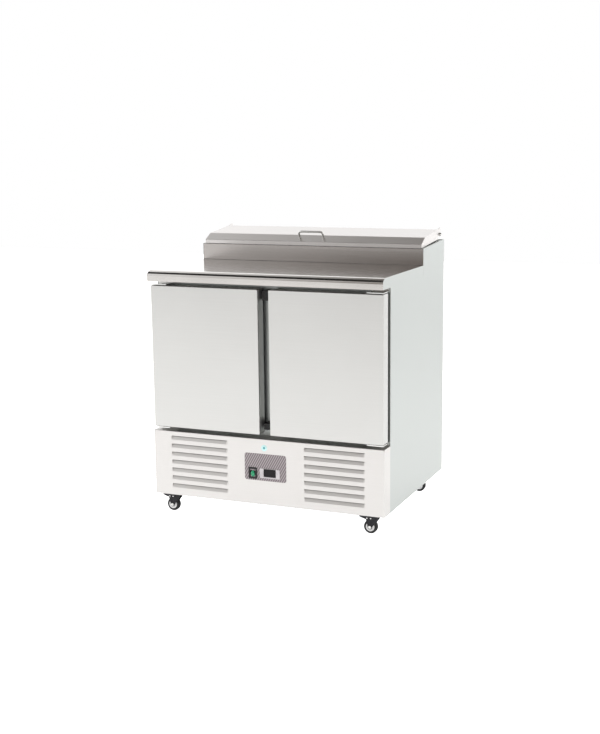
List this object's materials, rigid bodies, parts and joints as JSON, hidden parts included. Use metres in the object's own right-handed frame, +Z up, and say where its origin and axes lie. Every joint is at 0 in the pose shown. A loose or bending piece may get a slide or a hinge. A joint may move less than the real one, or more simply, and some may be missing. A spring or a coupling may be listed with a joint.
{
  "type": "refrigerated sandwich prep table",
  "caption": "Refrigerated prep table on casters: cabinet with hinged doors, worktop, raised row of food pans under a hinged lid, louvred lower panel.",
  "frame": {"origin": "on the floor, under the middle of the outline", "axes": "+Z up, +Y from the doors to the back, +X to the right of someone at the doors"},
  "size_m": [0.902, 0.7194, 1.036],
  "materials": {
    "steel": "satin brushed stainless sheet",
    "steel_bright": "polished stainless",
    "liner_steel": "stucco aluminium sheet",
    "galvanised": "galvanised sheet",
    "foam": "closed-cell polyurethane foam",
    "black_plastic": "matt black",
    "green_plastic": "translucent green, glossy",
    "grey_plastic": "light grey, matt",
    "printed_plate": "printed film on a plastic plate",
    "black_paint": "black enamel",
    "aluminium": "mill finish fins",
    "copper": "drawn copper tube",
    "coated_wire": "plastic-coated wire",
    "black_rubber": "soft black seal",
    "black_steel": "black zinc",
    "wheel_rubber": "black tread on a grey hub"
  },
  "bodies": {
    "cabinet": {"side_panel_left": "steel", "side_panel_right": "steel", "back_panel": "steel", "base_tray": "galvanised", "face_frame": "steel", "mullion_blocks": "black_plastic", "inner_liner": "liner_steel", "foam_insulation": "foam", "worktop": "steel_bright", "riser_panel": "steel", "pan_frame": "steel", "pan_dividers": "steel", "pans": "steel_bright", "grille_panel": "steel", "control_plate": "printed_plate", "switch_housing": "black_plastic", "thermostat": "grey_plastic", "compressor": "black_paint", "condenser_coil": "aluminium", "condenser_shroud": "galvanised", "evaporator_coil": "aluminium", "evaporator_cover": "steel", "refrigerant_pipes": "copper", "drip_tray": "grey_plastic", "shelf_left": "coated_wire", "shelf_right": "coated_wire", "shelf_rails": "steel", "door_hinges": "steel_bright", "lid_hinges": "steel_bright", "screws": "steel_bright", "power_inlet": "black_plastic", "caster_plates": "black_steel"},
    "door_left": {"door_left_skin": "steel", "door_left_core": "foam", "door_left_liner": "liner_steel", "door_left_gasket": "black_rubber"},
    "door_right": {"door_right_skin": "steel", "door_right_core": "foam", "door_right_liner": "liner_steel", "door_right_gasket": "black_rubber"},
    "lid": {"lid_skin": "steel", "lid_core": "foam", "lid_liner": "liner_steel", "lid_gasket": "black_rubber", "lid_handle": "steel_bright"},
    "rocker": {"switch_rocker": "green_plastic"},
    "key_left": {"thermostat_key_left": "grey_plastic"},
    "key_right": {"thermostat_key_right": "grey_plastic"},
    "condenser_rotor": {"condenser_fan": "black_plastic"},
    "evaporator_rotor": {"evaporator_fan": "black_plastic"},
    "caster_front_left": {"caster_fork_front_left": "black_steel"},
    "wheel_front_left": {"wheel_front_left": "wheel_rubber"},
    "caster_front_right": {"caster_fork_front_right": "black_steel"},
    "wheel_front_right": {"wheel_front_right": "wheel_rubber"},
    "caster_back_left": {"caster_fork_back_left": "black_steel"},
    "wheel_back_left": {"wheel_back_left": "wheel_rubber"},
    "caster_back_right": {"caster_fork_back_right": "black_steel"},
    "wheel_back_right": {"wheel_back_right": "wheel_rubber"},
    "pedal_front_left": {"brake_pedal_front_left": "black_steel"},
    "pedal_front_right": {"brake_pedal_front_right": "black_steel"}
  },
  "joints": [
    {"name": "door_left_hinge", "type": "hinge", "parent": "cabinet", "child": "door_left", "pos_m": [-0.432, -0.319, 0.599], "axis": [0, 0, -1], "range_deg": [0, 110]},
    {"name": "door_right_hinge", "type": "hinge", "parent": "cabinet", "child": "door_right", "pos_m": [0.432, -0.319, 0.599], "axis": [0, 0, 1], "range_deg": [0, 110]},
    {"name": "lid_hinge", "type": "hinge", "parent": "cabinet", "child": "lid", "pos_m": [0, 0.327, 1.011], "axis": [-1, 0, 0], "range_deg": [0, 100]},
    {"name": "switch_rock", "type": "hinge", "parent": "cabinet", "child": "rocker", "pos_m": [-0.049, -0.3385, 0.196], "axis": [1, 0, 0], "range_deg": [-14, 0]},
    {"name": "key_left_press", "type": "slide", "parent": "cabinet", "child": "key_left", "axis": [0, 1, 0], "range_m": [0, 0.0008], "stiffness_N_per_m": 600},
    {"name": "key_right_press", "type": "slide", "parent": "cabinet", "child": "key_right", "axis": [0, 1, 0], "range_m": [0, 0.0008], "stiffness_N_per_m": 600},
    {"name": "condenser_fan_spin", "type": "hinge", "parent": "cabinet", "child": "condenser_rotor", "pos_m": [0.21, -0.18, 0.187], "axis": [0, 1, 0], "continuous": true},
    {"name": "evaporator_fan_spin", "type": "hinge", "parent": "cabinet", "child": "evaporator_rotor", "pos_m": [0, 0.237, 0.728], "axis": [0, 1, 0], "continuous": true},
    {"name": "caster_front_left_swivel", "type": "hinge", "parent": "cabinet", "child": "caster_front_left", "pos_m": [-0.394, -0.276, 0.07], "axis": [0, 0, 1], "continuous": true},
    {"name": "wheel_front_left_spin", "type": "hinge", "parent": "caster_front_left", "child": "wheel_front_left", "pos_m": [-0.41, -0.276, 0.025], "axis": [0, 1, 0], "continuous": true},
    {"name": "caster_front_right_swivel", "type": "hinge", "parent": "cabinet", "child": "caster_front_right", "pos_m": [0.394, -0.276, 0.07], "axis": [0, 0, 1], "continuous": true},
    {"name": "wheel_front_right_spin", "type": "hinge", "parent": "caster_front_right", "child": "wheel_front_right", "pos_m": [0.378, -0.276, 0.025], "axis": [0, 1, 0], "continuous": true},
    {"name": "caster_back_left_swivel", "type": "hinge", "parent": "cabinet", "child": "caster_back_left", "pos_m": [-0.394, 0.294, 0.07], "axis": [0, 0, 1], "continuous": true},
    {"name": "wheel_back_left_spin", "type": "hinge", "parent": "caster_back_left", "child": "wheel_back_left", "pos_m": [-0.41, 0.294, 0.025], "axis": [0, 1, 0], "continuous": true},
    {"name": "caster_back_right_swivel", "type": "hinge", "parent": "cabinet", "child": "caster_back_right", "pos_m": [0.394, 0.294, 0.07], "axis": [0, 0, 1], "continuous": true},
    {"name": "wheel_back_right_spin", "type": "hinge", "parent": "caster_back_right", "child": "wheel_back_right", "pos_m": [0.378, 0.294, 0.025], "axis": [0, 1, 0], "continuous": true},
    {"name": "pedal_front_left_press", "type": "hinge", "parent": "caster_front_left", "child": "pedal_front_left", "pos_m": [-0.42, -0.276, 0.057], "axis": [0, -1, 0], "range_deg": [0, 12]},
    {"name": "pedal_front_right_press", "type": "hinge", "parent": "caster_front_right", "child": "pedal_front_right", "pos_m": [0.368, -0.276, 0.057], "axis": [0, -1, 0], "range_deg": [0, 12]}
  ]
}
